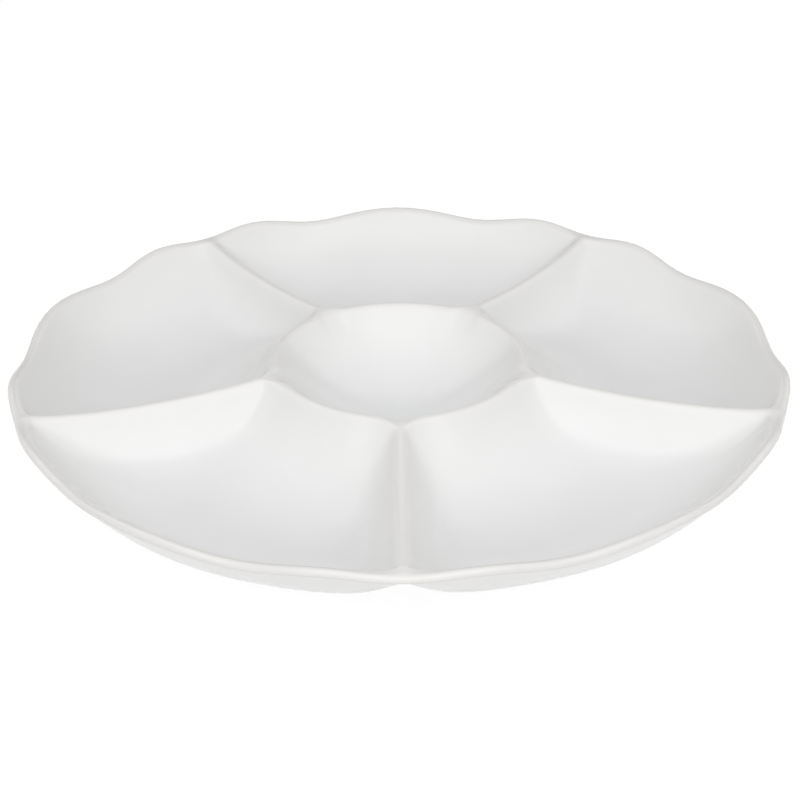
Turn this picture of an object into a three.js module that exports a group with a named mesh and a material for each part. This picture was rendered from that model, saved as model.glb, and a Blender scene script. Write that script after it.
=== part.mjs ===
import * as THREE from 'three';

// Main sizes in millimetres; z = 0 is the table, the front divider lies along -Y
const WELLS = 5;                  // outer compartments
const RIM_RADIUS = 147.5;         // mean radius of the middle of the lip
const RIM_HEIGHT = 28.1;          // mean height of the middle of the lip
const LIP_RADIUS = 1.6;           // round edge of the lip
const LIP_LEAN = THREE.MathUtils.degToRad(50);    // slope of the wall at the lip
const RIM_SWELL = [-0.46, 0.81, -0.68, -0.28];    // scallops outward, waves 5, 10, 15, 20 round
const RIM_LIFT = [0.22, 0.80, -1.18, -0.43];      // scallops upward, the same waves
const BOWL_FLOOR = 3.0;           // floor of the centre bowl above the table
const BOWL_CUT = 2.4;             // depth ground off below it to stand flat
const WELL_FLOOR = -0.4;          // level the well walls run down to; their blend ends 3.6 mm higher
const WELL_CUT = 4.7;             // the same level below, under the flat of the base
const RING_RADIUS = 48.2;         // crest of the centre ring, away from the dividers
const RING_LAND = 0.5;            // width of its crest
const RING_LIFT = 1.9;            // ring crest above the mean lip
const RING_CAP = 2.0;             // half width of the round on the ring crest
const NOTCH = 6.4;                // how far the bowl edge is drawn out towards a divider
const NOTCH_RUN = 4.5;            // half width of that notch
const NOTCH_FADE = 9;            // higher ends the notch nearer the crest
const FLARE = 6.8;                // how far the crest spreads outward where a divider meets it
const FLARE_RUN = 4.0;            // how far along the ring the flare reaches
const FLARE_TIP = 1.0;            // rounding of its tip
const DIVIDER_LAND = 0.4;         // half width of a divider crest
const DIVIDER_CAP = 3.0;          // half width of the round on a divider crest
const DIVIDER_END_LIFT = 1.0;     // divider crest above the mean lip at the rim
const DIVIDER_SAG = 3.0;          // dip of the crest halfway along a divider
const CREST_WALL = 3.8;           // thickness through a crest
const GROOVE_CAP = 3.0;           // half width of the round in the grooves under the crests
const GROOVE_INSET = 1.2;         // how much nearer the middle their flanks stand
const LIP_CAP = 1.5;              // half width of the round from the lip into its wall
const RIM_FLARE = 3.5;            // how far the lip spreads inward where a divider meets it
const RIM_FLARE_RUN = 4.0;        // how far along the lip that reaches
const RIM_THIN = 4.0;             // how much longer the wall under the rim runs below
const RIM_RUN = 22;               // wall under the rim, run at the slope it starts with
const RIM_FILLET = 1.0;           // share of that run that is fillet
const DIVIDER_RUN = 13;           // flanks of a divider
const DIVIDER_FILLET = 0.25;
const RING_RUN = 23;              // outer flank of the centre ring
const RING_FILLET = 1.0;
const BOWL_RUN = 24;              // inner flank of the centre ring
const BOWL_FILLET = 1.0;
const FLOOR_BLEND = 1.8;          // lower blends the ring and rim walls more widely on the floor
const RING_CORNER_BLEND = 1.5;    // lower blends a divider more widely into the ring
const RIM_CORNER_BLEND = 1.1;     // and into the wall under the rim
const UNDER_CORNER_BLEND = 1.1;   // the same at the rim, below
const WALL_POWER = 2.0;           // how hollow a wall is from its crest to the floor
const UNDER_WALL_POWER = 2.4;     // the same under the wells
const RIM_BAND = 6;               // width of the rim node, inward from the middle of the lip
const RING_BAND = 6;              // width of the ring node on each side of the crest
const DIVIDER_BAND = 8;           // half width of a divider node
const SEAM = 0.3;                 // gap between neighbouring nodes
const ORIGIN_TURN = -Math.PI / 2; // angles along the dish count from the front divider

const SECTOR = 2 * Math.PI / WELLS;
const UPPER = {
  side: 1, dividerCap: DIVIDER_CAP, ringCap: RING_CAP, inset: 0, rimRun: RIM_RUN, flare: RIM_FLARE, drop: 0,
  bowlFloor: BOWL_FLOOR, wellFloor: WELL_FLOOR, rimCorner: RIM_CORNER_BLEND, power: WALL_POWER,
};
const UNDER = {
  side: -1, dividerCap: GROOVE_CAP, ringCap: GROOVE_CAP, inset: GROOVE_INSET, rimRun: RIM_RUN + RIM_THIN,
  flare: 0, drop: CREST_WALL, bowlFloor: -BOWL_CUT, wellFloor: -WELL_CUT, rimCorner: UNDER_CORNER_BLEND,
  power: UNDER_WALL_POWER,
};

const glaze = new THREE.MeshStandardMaterial({ color: 0xf3f4f3, roughness: 0.15 });

// Curves seen from above
function sectorAngle(angle) {
  return THREE.MathUtils.euclideanModulo(angle, SECTOR);
}

function wave(angle, sizes) {
  return sizes.reduce((sum, size, i) => sum + size * Math.cos(WELLS * (i + 1) * angle), 0);
}

function lipRadius(angle) {
  return RIM_RADIUS + wave(angle, RIM_SWELL);
}

function lipHeight(angle) {
  return RIM_HEIGHT + wave(angle, RIM_LIFT);
}

function offDivider(angle) {
  const near = sectorAngle(angle);
  return Math.min(near, SECTOR - near);
}

// 1 where a divider meets a circle, falling off along it, with a round tip
function spread(angle, radius, run) {
  const along = Math.hypot(radius * offDivider(angle), FLARE_TIP) - FLARE_TIP;
  return Math.exp(-along / run);
}

// The ring crest lies between the edge of the bowl and the edges of the wells
function bowlEdge(angle) {
  const notch = NOTCH * Math.exp(-((RING_RADIUS * offDivider(angle) / NOTCH_RUN) ** 2));
  return RING_RADIUS - RING_LAND / 2 + notch;
}

function wellEdge(angle) {
  return RING_RADIUS + RING_LAND / 2 + FLARE * spread(angle, RING_RADIUS, FLARE_RUN);
}

// Share of the way from a circle to the rim
function outward(radius, start) {
  return THREE.MathUtils.clamp((radius - start) / (RIM_RADIUS - start), 0, 1);
}

function dividerHeight(radius) {
  const share = outward(radius, RING_RADIUS + RING_LAND / 2 + FLARE);
  const line = THREE.MathUtils.lerp(RING_LIFT, DIVIDER_END_LIFT, share);
  return RIM_HEIGHT + line - 4 * DIVIDER_SAG * share * (1 - share);
}

function edgeRadius(angle, face) {
  const flare = face.flare * spread(angle, RIM_RADIUS, RIM_FLARE_RUN);
  return lipRadius(angle) - face.side * LIP_RADIUS * Math.sin(LIP_LEAN) - flare;
}

function edgeHeight(angle, face) {
  return lipHeight(angle) + face.side * LIP_RADIUS * Math.cos(LIP_LEAN);
}

// A wall falls from a rounded crest, 0, at a steady slope, then runs out in a fillet on the floor, 1
function descent(distance, run, fillet, cap) {
  const capFall = cap / (2 * run);
  const x = Math.max(distance, 0) / run;
  const fall = x < 1 - fillet ? 1 - Math.sqrt(1 - x) : 1 - (1 + fillet - x) / (2 * Math.sqrt(fillet));
  const capped = fall < capFall ? fall ** 2 / (2 * capFall) : fall - capFall / 2;
  return capped / (1 - capFall / 2);
}

// Joins walls that meet in a corner; each wall is its crest height and its fall
function blend(walls, power) {
  let weights = 0;
  let crests = 0;
  for (const [crest, fall] of walls) {
    const weight = Math.max(fall, 1e-4) ** -power;
    weights += weight;
    crests += weight * crest;
  }
  return [crests / weights, weights ** (-1 / power)];
}

function dropFrom(crest, floor, fall, power) {
  return floor + (crest - floor) * Math.max(1 - fall, 0) ** power;
}

// Height of one face of the shell over a point of the plan
function bowlHeight(radius, angle, face) {
  const edge = bowlEdge(angle);
  const share = Math.min(radius / edge, 1);
  const wall = THREE.MathUtils.lerp(RING_RADIUS - RING_LAND / 2, edge, share ** NOTCH_FADE);
  const fall = descent(wall - radius + face.inset, BOWL_RUN, BOWL_FILLET, face.ringCap);
  return dropFrom(RIM_HEIGHT + RING_LIFT - face.drop, face.bowlFloor, fall, WALL_POWER);
}

function wellHeight(radius, angle, face) {
  const near = sectorAngle(angle);
  const ridge = dividerHeight(radius) - face.drop;
  const flank = (angleOff) => {
    const distance = radius * Math.sin(angleOff) - DIVIDER_LAND + face.inset;
    return descent(distance, DIVIDER_RUN, DIVIDER_FILLET, face.dividerCap);
  };
  const ringFall = descent(radius - wellEdge(angle) + face.inset, RING_RUN, RING_FILLET, face.ringCap);
  const rimFall = descent(edgeRadius(angle, face) - radius, face.rimRun, RIM_FILLET, LIP_CAP);
  const ringHeight = RIM_HEIGHT + RING_LIFT - face.drop;
  const along = blend([[ringHeight, ringFall], [edgeHeight(angle, face), rimFall]], FLOOR_BLEND);
  const corner = THREE.MathUtils.lerp(RING_CORNER_BLEND, face.rimCorner, outward(radius, RING_RADIUS));
  const [top, depth] = blend([along, [ridge, flank(near)], [ridge, flank(SECTOR - near)]], corner);
  return dropFrom(top, face.wellFloor, depth, face.power);
}

function shellPoint(radius, angle, face) {
  const inside = radius < wellEdge(angle);
  const height = inside ? bowlHeight(radius, angle, face) : wellHeight(radius, angle, face);
  const turn = angle + ORIGIN_TURN;
  return new THREE.Vector3(radius * Math.cos(turn), radius * Math.sin(turn), Math.max(height, 0));
}

// Bends a closed primitive onto the shell, one vertex at a time
function bend(geometry, place) {
  const position = geometry.attributes.position;
  const vertex = new THREE.Vector3();
  for (let i = 0; i < position.count; i += 1) {
    vertex.fromBufferAttribute(position, i);
    const point = place(vertex, i);
    position.setXYZ(i, point.x, point.y, point.z);
  }
  geometry.deleteAttribute('uv');
  geometry.computeVertexNormals();
  return geometry;
}

// Angle at which a curve round the centre lies a given distance beside a divider
function angleBeside(distance, curve) {
  let angle = 0;
  for (let pass = 0; pass < 12; pass += 1) angle = Math.asin(distance / curve(angle));
  return angle;
}

const wellInner = (angle) => wellEdge(angle) + RING_BAND + SEAM / 2;
const wellOuter = (angle) => lipRadius(angle) - RIM_BAND - SEAM / 2;

function between(startAngle, endAngle, share, face) {
  const start = new THREE.Vector2(wellInner(startAngle), 0).rotateAround(new THREE.Vector2(), startAngle);
  const end = new THREE.Vector2(wellOuter(endAngle), 0).rotateAround(new THREE.Vector2(), endAngle);
  const plan = start.lerp(end, share);
  return shellPoint(plan.length(), Math.atan2(plan.y, plan.x), face);
}

// Spaces steps from -1 to 1 closer together next to the dividers
function ease(x) {
  return Math.tanh(1.5 * x) / Math.tanh(1.5);
}

const faceOf = (vertex) => (vertex.z > 0 ? UPPER : UNDER);

function compartment() {
  const beside = DIVIDER_BAND + SEAM / 2;
  const first = angleBeside(beside, wellInner);
  const last = angleBeside(beside, wellOuter);
  return bend(new THREE.BoxGeometry(1, 1, 1, 20, 13, 1), (v) => {
    const across = (1 + ease(-2 * v.x)) / 2;
    const startAngle = THREE.MathUtils.lerp(first, SECTOR - first, across);
    const endAngle = THREE.MathUtils.lerp(last, SECTOR - last, across);
    return between(startAngle, endAngle, v.y + 0.5, faceOf(v));
  });
}

function divider() {
  const half = DIVIDER_BAND - SEAM / 2;
  return bend(new THREE.BoxGeometry(1, 1, 1, 8, 9, 1), (v) => {
    const across = -2 * v.x;
    const beside = half * Math.sign(across) * Math.abs(across) ** 1.6;
    return between(angleBeside(beside, wellInner), angleBeside(beside, wellOuter), v.y + 0.5, faceOf(v));
  });
}

function stepAngle(index, perSector) {
  const sector = Math.floor(index / perSector);
  return (sector + (1 + ease(2 * (index - sector * perSector) / perSector - 1)) / 2) * SECTOR;
}

// A closed band round the centre; its section runs over the top inward and back below
function band(section, perSector) {
  const steps = perSector * WELLS;
  return bend(new THREE.TorusGeometry(1, 0.5, section.length, steps), (v, i) => {
    const step = i % (steps + 1);
    const station = Math.floor(i / (steps + 1)) % section.length;
    return section[station](stepAngle(step % steps, perSector));
  });
}

function rim() {
  const station = (face, share) => (angle) => {
    const inner = lipRadius(angle) - RIM_BAND + SEAM / 2;
    return shellPoint(THREE.MathUtils.lerp(inner, edgeRadius(angle, face), share), angle, face);
  };
  const nose = (share) => (angle) => {
    const lean = LIP_LEAN + (0.5 - share) * Math.PI;
    const turn = angle + ORIGIN_TURN;
    const radius = lipRadius(angle) + LIP_RADIUS * Math.cos(lean);
    return new THREE.Vector3(radius * Math.cos(turn), radius * Math.sin(turn),
      lipHeight(angle) + LIP_RADIUS * Math.sin(lean));
  };
  return band([
    nose(0.5), nose(0.25), station(UPPER, 1), station(UPPER, 0.5), station(UPPER, 0),
    station(UNDER, 0), station(UNDER, 0.6), nose(1), nose(0.75),
  ], 30);
}

function ring() {
  const shares = [1, 0.6, 0.25, 0];
  const half = RING_BAND - SEAM / 2;
  const outer = (face) => (share) => (angle) => shellPoint(wellEdge(angle) + half * share, angle, face);
  const inner = (face) => (share) => (angle) => shellPoint(bowlEdge(angle) - half * share, angle, face);
  const back = [...shares].reverse();
  return band([
    ...shares.map(outer(UPPER)), ...back.map(inner(UPPER)),
    ...shares.map(inner(UNDER)), ...back.map(outer(UNDER)),
  ], 18);
}

function bowl() {
  const perSector = 18;
  const around = perSector * WELLS;
  const rows = 7;
  return bend(new THREE.SphereGeometry(1, around, 2 * rows + 1), (v, i) => {
    const row = Math.floor(i / (around + 1));
    const face = row <= rows ? UPPER : UNDER;
    const share = (row <= rows ? row : 2 * rows + 1 - row) / rows;
    const angle = stepAngle(i % (around + 1) % around, perSector);
    return shellPoint((bowlEdge(angle) - RING_BAND - SEAM / 2) * share, angle, face);
  });
}

function add(group, name, geometry, turn) {
  const mesh = new THREE.Mesh(geometry, glaze);
  mesh.name = name;
  mesh.rotation.z = turn;
  group.add(mesh);
}

const dish = new THREE.Group();
dish.name = 'appetizer_dish';
add(dish, 'centre_bowl', bowl(), 0);
add(dish, 'centre_ring', ring(), 0);
const well = compartment();
['front_right', 'right', 'back', 'left', 'front_left'].forEach((place, i) => {
  add(dish, `compartment_${place}`, well, i * SECTOR);
});
const ridge = divider();
['front', 'right', 'back_right', 'back_left', 'left'].forEach((place, i) => {
  add(dish, `divider_${place}`, ridge, i * SECTOR);
});
add(dish, 'scalloped_rim', rim(), 0);

export default dish;
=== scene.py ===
import math
from collections import namedtuple

import bpy
import numpy as np
from mathutils import Matrix, Vector


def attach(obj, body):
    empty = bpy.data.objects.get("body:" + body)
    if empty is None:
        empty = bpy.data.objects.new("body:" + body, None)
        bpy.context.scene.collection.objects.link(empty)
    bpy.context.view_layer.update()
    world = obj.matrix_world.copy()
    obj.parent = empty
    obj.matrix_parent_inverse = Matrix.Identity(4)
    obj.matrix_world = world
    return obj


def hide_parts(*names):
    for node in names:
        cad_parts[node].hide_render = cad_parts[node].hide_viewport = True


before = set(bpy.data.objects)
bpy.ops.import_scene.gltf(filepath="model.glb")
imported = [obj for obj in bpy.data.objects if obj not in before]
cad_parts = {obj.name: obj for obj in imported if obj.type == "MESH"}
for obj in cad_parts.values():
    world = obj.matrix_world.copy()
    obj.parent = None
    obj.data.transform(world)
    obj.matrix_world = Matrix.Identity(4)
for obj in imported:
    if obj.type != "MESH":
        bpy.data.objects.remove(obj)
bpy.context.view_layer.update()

MM = 0.001

# Sizes of the dish in millimetres; z = 0 is the table
WELLS = 5                               # outer compartments
RIM_RADIUS = 147.5                      # mean radius of the middle of the lip
RIM_HEIGHT = 28.1                       # mean height of the middle of the lip
LIP_RADIUS = 1.6                        # round edge of the lip
LIP_LEAN = math.radians(50)             # slope of the wall at the lip
# Scallops outward and upward, in waves of 5, 10, 15 and 20 round the rim
RIM_SWELL = (-0.46, 0.81, -0.68, -0.28)
RIM_LIFT = (0.22, 0.80, -1.18, -0.43)
# Floors, ring, dividers and walls
BOWL_FLOOR = 3.0                        # floor of the centre bowl above the table
BOWL_CUT = 2.4                          # depth ground off below it to stand flat
WELL_FLOOR = -0.4                       # level the well walls run down to
WELL_CUT = 4.7                          # the same level below, under the flat of the base
RING_RADIUS = 48.2                      # crest of the centre ring, away from the dividers
RING_LAND = 0.5                         # width of its crest
RING_LIFT = 1.9                         # ring crest above the mean lip
NOTCH = 6.4                             # how far the bowl edge is drawn out towards a divider
NOTCH_RUN = 4.5                         # half width of that notch
NOTCH_FADE = 9                          # higher ends the notch nearer the crest
FLARE = 6.8                             # how far the crest spreads outward where a divider meets it
FLARE_RUN = 4.0                         # how far along the ring the flare reaches
FLARE_TIP = 1.0                         # rounding of its tip
DIVIDER_LAND = 0.4                      # half width of a divider crest
DIVIDER_END_LIFT = 1.0                  # divider crest above the mean lip at the rim
DIVIDER_SAG = 3.0                       # dip of the crest halfway along a divider
DIVIDER_CAP = 3.0                       # half width of the round on a divider crest
RING_CAP = 2.0                          # the same on the ring crest
GROOVE_CAP = 3.0                        # the same in the grooves under these crests
GROOVE_INSET = 1.2                      # how much nearer the middle their flanks stand
CREST_WALL = 3.8                        # thickness through a crest
LIP_CAP = 1.5                           # half width of the round from the lip into its wall
RIM_FLARE = 3.5                         # how far the lip spreads inward where a divider meets it
RIM_FLARE_RUN = 4.0                     # how far along the lip that reaches
END_RISE = 0.9                          # how much the lip and the divider swell up there
END_RUN = 8.0                           # how far back along the divider that reaches
RIM_THIN = 4.0                          # how much longer the wall under the rim runs below
RIM_RUN, RIM_FILLET = 22, 1.0           # wall under the rim: run, and the share of it that is fillet
DIVIDER_RUN, DIVIDER_FILLET = 13, 0.25  # flanks of a divider
RING_RUN, RING_FILLET = 23, 1.0         # outer flank of the centre ring
BOWL_RUN, BOWL_FILLET = 24, 1.0         # inner flank of the centre ring
FLOOR_BLEND = 1.8                       # lower blends the ring and rim walls more widely on the floor
RING_CORNER_BLEND = 1.5                 # lower blends a divider more widely into the ring
RIM_CORNER_BLEND = 1.1                  # and into the wall under the rim
UNDER_CORNER_BLEND = 1.1                # the same at the rim, below
WALL_POWER = 2.0                        # how hollow a wall is from its crest to the floor
UNDER_WALL_POWER = 2.4                  # the same below
LEAST_FALL = 1e-4                       # keeps a blend of walls finite on a crest
FOOT_SOFT = 1.0                         # rounding where the underside runs into its flats

# Mesh rows and columns
COLUMNS = 64                            # round one sector
COLUMN_CROWDING = 2.2                   # higher sets them closer near the dividers
CENTRE_ROWS = 32                        # from the axis to the edge of the bowl
CREST_ROWS = 4                          # across the ring crest
WELL_ROWS = 64                          # from the ring to the lip
WELL_CROWDING = 1.6                     # higher sets them closer near the ring and the lip
LIP_ROWS = 10                           # over the round of the lip
THINNING = ((0.12, 8), (0.25, 4), (0.5, 2))  # up to this share of the bowl, one column in so many

# Camera, fitted to the outline of the rim
CAMERA_DISTANCE = 0.6534
CAMERA_ELEVATION = math.radians(28.904)
CAMERA_ROLL = math.radians(-0.3786)
CAMERA_YAW = math.radians(-0.3765)
CAMERA_TARGET = Vector((0.00027, 0.0, 0.01047))
CAMERA_SENSOR = 36.0
CAMERA_LENS = 74.35

# Glaze; stops are positions on a ramp with a colour or a grey level
# Warmer on the crests and slightly darker towards the floors of the wells
GLAZE_STOPS = (                         # from a crest, 0, to the floor of a well, 1
    (0.0, (0.870, 0.862, 0.845)),
    (0.05, (0.862, 0.860, 0.852)),
    (0.35, (0.860, 0.862, 0.858)),
    (0.95, (0.846, 0.852, 0.852)),
)
LIP_PAINTED_SHADE = (0.825, 0.815, 0.798, 1)    # painted shade on the edge of the lip, which dims its highlight
MOTTLE_STOPS = ((0.3, 0.975), (0.7, 1.0))  # faint clouds in the glaze
GLOSS_STOPS = ((0.3, 0.19), (0.7, 0.26))   # its roughness
GRIT_STOPS = ((0.35, (0.70, 0.675, 0.63)), (0.65, (0.80, 0.78, 0.74)))  # bare clay on the flats
BARE_ROUGHNESS = (0.75, 0.75, 0.75, 1)  # of that clay
GLAZE_IOR = 1.52
MOTTLE_SCALE, GLOSS_SCALE, GRIT_SCALE, RIPPLE_SCALE = 22.0, 35.0, 900.0, 60.0  # noise to a metre
NOISE_ROUGHNESS = 0.55
RIPPLE_STRENGTH, RIPPLE_DEPTH = 0.05, 0.0006  # slow unevenness of the surface

# Floor, backdrop and lamps; metres, degrees and watts
FLOOR_HALF = 4.0
FLOOR_COLOUR = (0.9, 0.9, 0.9, 1)
FLOOR_WHITE = 1.06                      # comes out as plain white once the shading is mixed in
FLOOR_GLOW = 0.9                        # share of that white, the rest is the shading
WHITE = (1, 1, 1, 1)
ROOM_LIGHT = 0.25
BACKDROP_MIRRORED = 0.73                # how white the backdrop shows in the glaze at the horizon
BACKDROP_TOP = 0.3                      # sine of the elevation at which it ends
LAMP_DISTANCE = 1.0
LAMPS = (                               # name, azimuth, elevation, size, power
    ("front", 0, 40, 1.2, 5.4),
    ("front_high", 0, 55, 1.2, 2.2),
    ("top", 0, 90, 1.0, 0.55),
    ("side_right", 70, 50, 0.8, 0.7),
    ("back_right", 115, 35, 0.8, 1.3),
    ("side_left", -70, 50, 0.8, 0.7),
    ("back_left", -115, 35, 0.8, 1.3),
)

SECTOR = 2 * math.pi / WELLS
Face = namedtuple(
    "Face", "side divider_cap ring_cap inset rim_run flare drop bowl_floor well_floor rim_corner power")
UPPER = Face(
    side=1, divider_cap=DIVIDER_CAP, ring_cap=RING_CAP, inset=0.0, rim_run=RIM_RUN, flare=RIM_FLARE,
    drop=0.0, bowl_floor=BOWL_FLOOR, well_floor=WELL_FLOOR, rim_corner=RIM_CORNER_BLEND, power=WALL_POWER)
UNDER = Face(
    side=-1, divider_cap=GROOVE_CAP, ring_cap=GROOVE_CAP, inset=GROOVE_INSET, rim_run=RIM_RUN + RIM_THIN,
    flare=0.0, drop=CREST_WALL, bowl_floor=-BOWL_CUT, well_floor=-WELL_CUT, rim_corner=UNDER_CORNER_BLEND,
    power=UNDER_WALL_POWER)


# Curves seen from above; angles count from the front divider
def wave(angle, sizes):
    return sum(size * np.cos(WELLS * (i + 1) * angle) for i, size in enumerate(sizes))


def lip_radius(angle):
    return RIM_RADIUS + wave(angle, RIM_SWELL)


def lip_height(angle):
    return RIM_HEIGHT + wave(angle, RIM_LIFT)


def off_divider(angle):
    near = np.mod(angle, SECTOR)
    return np.minimum(near, SECTOR - near)


def spread(angle, radius, run):
    """1 where a divider meets a circle, falling off along it, with a round tip."""
    along = np.hypot(radius * off_divider(angle), FLARE_TIP) - FLARE_TIP
    return np.exp(-along / run)


def edge_radius(angle, face):
    flare = face.flare * spread(angle, RIM_RADIUS, RIM_FLARE_RUN)
    return lip_radius(angle) - face.side * LIP_RADIUS * math.sin(LIP_LEAN) - flare


def end_rise(angle):
    """Swelling of the upper side of the lip where a divider meets it."""
    return END_RISE * spread(angle, RIM_RADIUS, RIM_FLARE_RUN)


def edge_height(angle, face):
    rise = end_rise(angle) if face is UPPER else 0
    return lip_height(angle) + face.side * LIP_RADIUS * math.cos(LIP_LEAN) + rise


def bowl_edge(angle):
    notch = NOTCH * np.exp(-(RING_RADIUS * off_divider(angle) / NOTCH_RUN) ** 2)
    return RING_RADIUS - RING_LAND / 2 + notch


def well_edge(angle):
    return RING_RADIUS + RING_LAND / 2 + FLARE * spread(angle, RING_RADIUS, FLARE_RUN)


def divider_height(radius):
    start = RING_RADIUS + RING_LAND / 2 + FLARE
    share = np.clip((radius - start) / (RIM_RADIUS - start), 0, 1)
    line = RING_LIFT + (DIVIDER_END_LIFT - RING_LIFT) * share
    short = np.maximum(edge_radius(0.0, UPPER) - radius, 0)
    rise = END_RISE * np.exp(-short / END_RUN)
    return RIM_HEIGHT + line - 4 * DIVIDER_SAG * share * (1 - share) + rise


# Walls: each falls from a rounded crest, 0, at a steady slope and runs out in a fillet on the floor, 1
def descent(distance, run, fillet, cap):
    cap_fall = cap / (2 * run)
    x = np.maximum(distance, 0) / run
    slope = 1 - np.sqrt(np.maximum(1 - x, 0))
    fall = np.where(x < 1 - fillet, slope, 1 - (1 + fillet - x) / (2 * math.sqrt(fillet)))
    capped = np.where(fall < cap_fall, fall ** 2 / (2 * cap_fall), fall - cap_fall / 2)
    return capped / (1 - cap_fall / 2)


def blend(walls, power):
    """Joins walls that meet in a corner; each wall is its crest height and its fall."""
    weights = [np.maximum(fall, LEAST_FALL) ** -power for _, fall in walls]
    total = sum(weights)
    crest = sum(weight * top for weight, (top, _) in zip(weights, walls)) / total
    return crest, total ** (-1 / power)


def drop_from(crest, floor, fall, power):
    return floor + (crest - floor) * np.maximum(1 - fall, 0) ** power


def bowl_surface(radius, angle, face):
    edge = bowl_edge(angle)
    circle = RING_RADIUS - RING_LAND / 2
    wall = circle + (edge - circle) * np.minimum(radius / edge, 1) ** NOTCH_FADE
    fall = descent(wall - radius + face.inset, BOWL_RUN, BOWL_FILLET, face.ring_cap)
    return drop_from(RIM_HEIGHT + RING_LIFT - face.drop, face.bowl_floor, fall, WALL_POWER), fall


def well_surface(radius, angle, face):
    near = np.mod(angle, SECTOR)
    ridge = divider_height(radius) - face.drop

    def flank(angle_off):
        distance = radius * np.sin(angle_off) - DIVIDER_LAND + face.inset
        return descent(distance, DIVIDER_RUN, DIVIDER_FILLET, face.divider_cap)

    ring_fall = descent(radius - well_edge(angle) + face.inset, RING_RUN, RING_FILLET, face.ring_cap)
    rim_fall = descent(edge_radius(angle, face) - radius, face.rim_run, RIM_FILLET, LIP_CAP)
    ring_height = RIM_HEIGHT + RING_LIFT - face.drop
    along = blend([(ring_height, ring_fall), (edge_height(angle, face), rim_fall)], FLOOR_BLEND)
    corner = np.interp(radius, (RING_RADIUS, RIM_RADIUS), (RING_CORNER_BLEND, face.rim_corner))
    top, fall = blend([along, (ridge, flank(near)), (ridge, flank(SECTOR - near))], corner)
    return drop_from(top, face.well_floor, fall, face.power), fall


def on_foot(height):
    """Keeps the underside off the table, with a soft edge round each flat."""
    near = np.maximum(FOOT_SOFT - np.abs(height), 0)
    return np.maximum(height, 0) + near ** 2 / (4 * FOOT_SOFT)


# Mesh of the dish: rings of points from the top of the axis over the lip to the foot of the axis
def spaced(count, crowding):
    """Shares from 0 to 1, closer together at both ends."""
    x = np.linspace(-1, 1, count + 1)
    return (1 + np.tanh(crowding * x) / math.tanh(crowding)) / 2


def ring_points(radius, angle, height):
    turn = angle - math.pi / 2
    return np.stack([radius * np.cos(turn), radius * np.sin(turn), height], axis=1)


def shell_ring(radius, angle, face):
    """Points, falls, bare marks and lip marks of one ring on one face of the shell."""
    in_bowl = radius < well_edge(angle)
    bowl_height, bowl_fall = bowl_surface(radius, angle, face)
    well_height, well_fall = well_surface(radius, angle, face)
    height = np.where(in_bowl, bowl_height, well_height)
    fall = np.where(in_bowl, bowl_fall, well_fall)
    bare = np.clip(-height / FOOT_SOFT, 0, 1)
    return ring_points(radius, angle, on_foot(height)), fall, bare, np.zeros_like(angle)


def face_rings(columns, face):
    """Rings of one face from the axis outward, with fewer points near the axis."""
    rings = []
    for share in np.sin(np.linspace(0, math.pi / 2, CENTRE_ROWS + 1))[1:]:
        step = next((step for limit, step in THINNING if share < limit), 1)
        thinned = columns[::step]
        rings.append(shell_ring(bowl_edge(thinned) * share, thinned, face))
    bowl, well, edge = bowl_edge(columns), well_edge(columns), edge_radius(columns, face)
    for share in np.linspace(0, 1, CREST_ROWS + 1)[1:-1]:
        rings.append(shell_ring(bowl + (well - bowl) * share, columns, face))
    for share in spaced(WELL_ROWS, WELL_CROWDING):
        rings.append(shell_ring(well + (edge - well) * share, columns, face))
    return rings


def lip_rings(columns):
    """Rings over the round of the lip, between the two faces."""
    rings = []
    for share in np.linspace(0, 1, LIP_ROWS + 1)[1:-1]:
        lean = LIP_LEAN + (0.5 - share) * math.pi
        radius = lip_radius(columns) + LIP_RADIUS * math.cos(lean)
        rise = end_rise(columns) * max(lean - math.pi / 2, 0) / LIP_LEAN
        height = lip_height(columns) + LIP_RADIUS * math.sin(lean) + rise
        none = np.zeros_like(columns)
        rings.append((ring_points(radius, columns, height), none, none, none + 1))
    return rings


def bridge(first, second):
    """Faces between two rings of point numbers, where one may have twice as many as the other."""
    if len(first) > len(second):
        return [face[::-1] for face in bridge(second, first)]
    faces = []
    for i, a in enumerate(first):
        b = first[(i + 1) % len(first)]
        if len(first) == len(second):
            faces.append((a, second[i], second[(i + 1) % len(second)], b))
        else:
            left, middle, right = (second[(2 * i + k) % len(second)] for k in range(3))
            faces += [(a, left, middle), (a, middle, b), (b, middle, right)]
    return faces


def dish_mesh():
    steps = spaced(COLUMNS, COLUMN_CROWDING)[:-1]
    columns = np.concatenate([(sector + steps) * SECTOR for sector in range(WELLS)])
    rings = face_rings(columns, UPPER) + lip_rings(columns) + face_rings(columns, UNDER)[::-1]
    axis = np.zeros(1)
    rings = [shell_ring(axis, axis, UPPER)] + rings + [shell_ring(axis, axis, UNDER)]
    points, falls, bares, lips = (np.concatenate(part) for part in zip(*rings))
    numbers = np.split(np.arange(len(points)), np.cumsum([len(ring[0]) for ring in rings])[:-1])
    numbers = [ring.tolist() for ring in numbers]
    faces = []
    for first, second in zip(numbers[1:-2], numbers[2:-1]):
        faces += bridge(first, second)
    top, foot = numbers[0][0], numbers[-1][0]
    faces += [(top, a, b) for a, b in zip(numbers[1], numbers[1][1:] + numbers[1][:1])]
    faces += [(foot, b, a) for a, b in zip(numbers[-2], numbers[-2][1:] + numbers[-2][:1])]
    mesh = bpy.data.meshes.new("appetizer_dish")
    mesh.from_pydata((points * MM).tolist(), [], faces)
    for name, values in (("fall", falls), ("bare", bares), ("lip", lips)):
        mesh.attributes.new(name, "FLOAT", "POINT").data.foreach_set("value", values.astype(np.float32))
    mesh.polygons.foreach_set("use_smooth", [True] * len(mesh.polygons))
    mesh.update()
    return mesh


# Materials
def new_material(name):
    material = bpy.data.materials.new(name)
    material.use_nodes = True
    tree = material.node_tree
    return material, tree, tree.nodes["Principled BSDF"]


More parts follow.
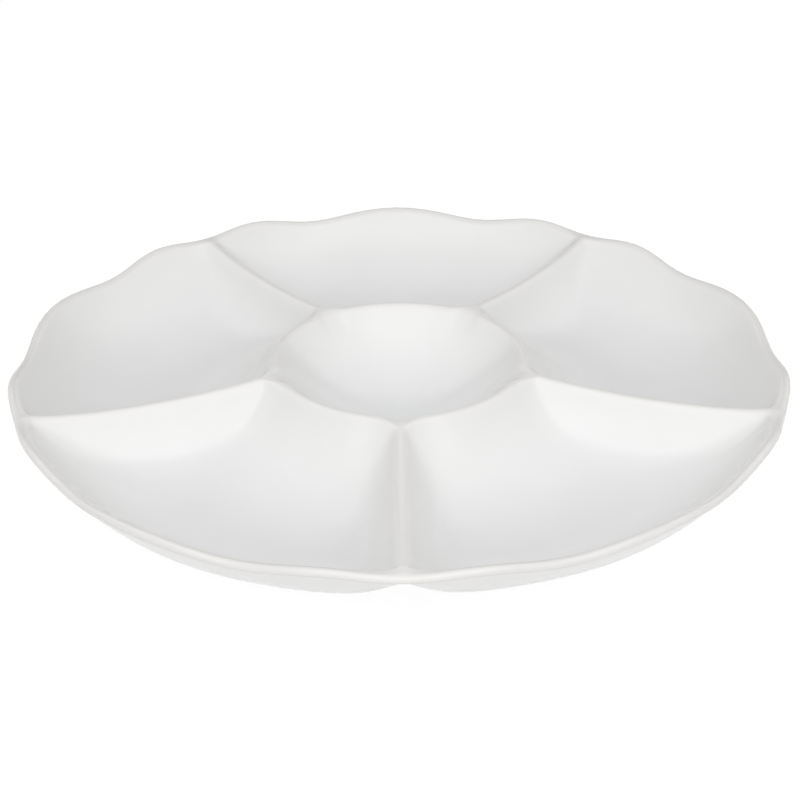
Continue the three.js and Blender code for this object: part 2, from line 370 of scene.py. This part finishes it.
def add_node(tree, kind, **settings):
    node = tree.nodes.new(kind)
    for name, value in settings.items():
        if name in node.inputs:
            node.inputs[name].default_value = value
        else:
            setattr(node, name, value)
    return node


def ramp(tree, source, stops):
    """Colour ramp over a value; stops are positions with grey levels or colours."""
    node = tree.nodes.new("ShaderNodeValToRGB")
    elements = node.color_ramp.elements
    while len(elements) < len(stops):
        elements.new(0.5)
    for element, (position, colour) in zip(elements, stops):
        element.position = position
        element.color = (*colour, 1) if isinstance(colour, tuple) else (colour, colour, colour, 1)
    tree.links.new(source, node.inputs["Fac"])
    return node.outputs["Color"]


def mix_colour(tree, kind, factor, first, second):
    node = add_node(tree, "ShaderNodeMix", data_type="RGBA", blend_type=kind)
    for socket, value in ((node.inputs[0], factor), (node.inputs[6], first), (node.inputs[7], second)):
        if isinstance(value, (float, tuple)):
            socket.default_value = value
        else:
            tree.links.new(value, socket)
    return node.outputs[2]


def glaze_material():
    """White gloss glaze: warm on crests, painted shade on the lip that dims its highlight, slightly
    darker towards the well floors, none on the flats.
    """
    material, tree, shader = new_material("glazed_porcelain")
    spot = add_node(tree, "ShaderNodeTexCoord").outputs["Object"]
    fall, bare, lip = (
        add_node(tree, "ShaderNodeAttribute", attribute_name=name).outputs["Fac"]
        for name in ("fall", "bare", "lip"))

    def noise(scale, detail):
        node = add_node(
            tree, "ShaderNodeTexNoise", Scale=scale, Detail=detail, Roughness=NOISE_ROUGHNESS)
        tree.links.new(spot, node.inputs["Vector"])
        return node.outputs["Fac"]

    # the lip mark mixes in painted shade, which dims the highlight on the lip
    tone_and_lip_shade = mix_colour(tree, "MIX", lip, ramp(tree, fall, GLAZE_STOPS), LIP_PAINTED_SHADE)
    mottle = ramp(tree, noise(MOTTLE_SCALE, 3.0), MOTTLE_STOPS)
    glaze = mix_colour(tree, "MULTIPLY", 1.0, tone_and_lip_shade, mottle)
    grit = ramp(tree, noise(GRIT_SCALE, 2.0), GRIT_STOPS)
    tree.links.new(mix_colour(tree, "MIX", bare, glaze, grit), shader.inputs["Base Color"])

    gloss = ramp(tree, noise(GLOSS_SCALE, 2.0), GLOSS_STOPS)
    tree.links.new(mix_colour(tree, "MIX", bare, gloss, BARE_ROUGHNESS), shader.inputs["Roughness"])
    shader.inputs["IOR"].default_value = GLAZE_IOR

    ripple = add_node(tree, "ShaderNodeBump", Strength=RIPPLE_STRENGTH, Distance=RIPPLE_DEPTH)
    tree.links.new(noise(RIPPLE_SCALE, 1.0), ripple.inputs["Height"])
    tree.links.new(ripple.outputs["Normal"], shader.inputs["Normal"])
    return material


def seen_directly(tree, mirrored=None):
    """1 for what the camera sees, also by mirror or through glass; 0 where light is gathered."""
    path = tree.nodes.new("ShaderNodeLightPath")
    by_way = add_node(tree, "ShaderNodeMath", operation="MAXIMUM")
    tree.links.new(path.outputs["Is Glossy Ray"], by_way.inputs[0])
    tree.links.new(path.outputs["Is Transmission Ray"], by_way.inputs[1])
    if mirrored is not None:
        share = add_node(tree, "ShaderNodeMath", operation="MULTIPLY")
        tree.links.new(by_way.outputs[0], share.inputs[0])
        tree.links.new(mirrored, share.inputs[1])
        by_way = share
    total = add_node(tree, "ShaderNodeMath", operation="MAXIMUM")
    tree.links.new(path.outputs["Is Camera Ray"], total.inputs[0])
    tree.links.new(by_way.outputs[0], total.inputs[1])
    return total.outputs[0]


def low_in_the_sky(tree):
    """Share of white that mirrored rays see: most at the horizon, 0 above the backdrop."""
    split = tree.nodes.new("ShaderNodeSeparateXYZ")
    tree.links.new(tree.nodes.new("ShaderNodeTexCoord").outputs["Generated"], split.inputs[0])
    fade = tree.nodes.new("ShaderNodeMapRange")
    fade.inputs["From Min"].default_value = 0.0
    fade.inputs["From Max"].default_value = BACKDROP_TOP
    fade.inputs["To Min"].default_value = BACKDROP_MIRRORED
    fade.inputs["To Max"].default_value = 0.0
    tree.links.new(split.outputs["Z"], fade.inputs["Value"])
    return fade.outputs["Result"]


def floor_material():
    """Pale floor that shows white, with part of its own shading so that the shadow stays."""
    material, tree, shader = new_material("floor")
    shader.inputs["Base Color"].default_value = FLOOR_COLOUR
    shader.inputs["Roughness"].default_value = 1.0
    shader.inputs["Specular IOR Level"].default_value = 0.0
    white = add_node(tree, "ShaderNodeEmission", Strength=FLOOR_WHITE)
    share = add_node(tree, "ShaderNodeMath", operation="MULTIPLY")
    share.inputs[1].default_value = FLOOR_GLOW
    tree.links.new(seen_directly(tree), share.inputs[0])
    mix = tree.nodes.new("ShaderNodeMixShader")
    tree.links.new(share.outputs[0], mix.inputs[0])
    tree.links.new(shader.outputs[0], mix.inputs[1])
    tree.links.new(white.outputs[0], mix.inputs[2])
    tree.links.new(mix.outputs[0], tree.nodes["Material Output"].inputs["Surface"])
    return material


# Pieces
def place(name, mesh, material):
    piece = bpy.data.objects.new(name, mesh)
    piece.data.materials.append(material)
    bpy.context.scene.collection.objects.link(piece)
    return piece


def build_dish():
    dish = place("appetizer_dish", dish_mesh(), glaze_material())
    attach(dish, "root")
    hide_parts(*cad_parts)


def build_floor():
    mesh = bpy.data.meshes.new("floor")
    corners = [(x * FLOOR_HALF, y * FLOOR_HALF, 0) for x, y in ((-1, -1), (1, -1), (1, 1), (-1, 1))]
    mesh.from_pydata(corners, [], [(0, 1, 2, 3)])
    place("floor", mesh, floor_material())


# Light and camera
def direction(azimuth, elevation):
    """Towards a lamp; azimuth 0 is the camera's side and 90 the right."""
    azimuth, elevation = math.radians(azimuth), math.radians(elevation)
    level = math.cos(elevation)
    return Vector((math.sin(azimuth) * level, -math.cos(azimuth) * level, math.sin(elevation)))


def soft_box(name, azimuth, elevation, size, power):
    lamp = bpy.data.lights.new(name, "AREA")
    lamp.shape = "SQUARE"
    lamp.size = size
    lamp.energy = power
    holder = bpy.data.objects.new(name, lamp)
    away = direction(azimuth, elevation)
    holder.location = away * LAMP_DISTANCE
    holder.rotation_euler = (-away).to_track_quat("-Z", "Y").to_euler()
    bpy.context.scene.collection.objects.link(holder)


def build_light():
    world = bpy.data.worlds.new("studio")
    world.use_nodes = True
    tree = world.node_tree
    room = tree.nodes["Background"]
    room.inputs["Color"].default_value = WHITE
    room.inputs["Strength"].default_value = ROOM_LIGHT
    white = add_node(tree, "ShaderNodeBackground", Color=WHITE, Strength=1.0)
    mix = tree.nodes.new("ShaderNodeMixShader")
    tree.links.new(seen_directly(tree, low_in_the_sky(tree)), mix.inputs[0])
    tree.links.new(room.outputs[0], mix.inputs[1])
    tree.links.new(white.outputs[0], mix.inputs[2])
    tree.links.new(mix.outputs[0], tree.nodes["World Output"].inputs["Surface"])
    bpy.context.scene.world = world
    for lamp in LAMPS:
        soft_box(*lamp)


def build_camera():
    forward = Vector((0, math.cos(CAMERA_ELEVATION), -math.sin(CAMERA_ELEVATION)))
    right = Vector((1, 0, 0))
    up = right.cross(forward)
    rolled_right = right * math.cos(CAMERA_ROLL) + up * math.sin(CAMERA_ROLL)
    rolled_up = up * math.cos(CAMERA_ROLL) - right * math.sin(CAMERA_ROLL)
    matrix = Matrix((rolled_right, rolled_up, -forward)).transposed().to_4x4()
    matrix.translation = CAMERA_TARGET - forward * CAMERA_DISTANCE
    data = bpy.data.cameras.new("camera")
    data.sensor_width = CAMERA_SENSOR
    data.lens = CAMERA_LENS
    camera = bpy.data.objects.new("camera", data)
    camera.matrix_world = Matrix.Rotation(CAMERA_YAW, 4, "Z") @ matrix
    bpy.context.scene.collection.objects.link(camera)
    bpy.context.scene.camera = camera


build_dish()
build_floor()
build_light()
build_camera()
bpy.context.scene.view_settings.view_transform = "Standard"
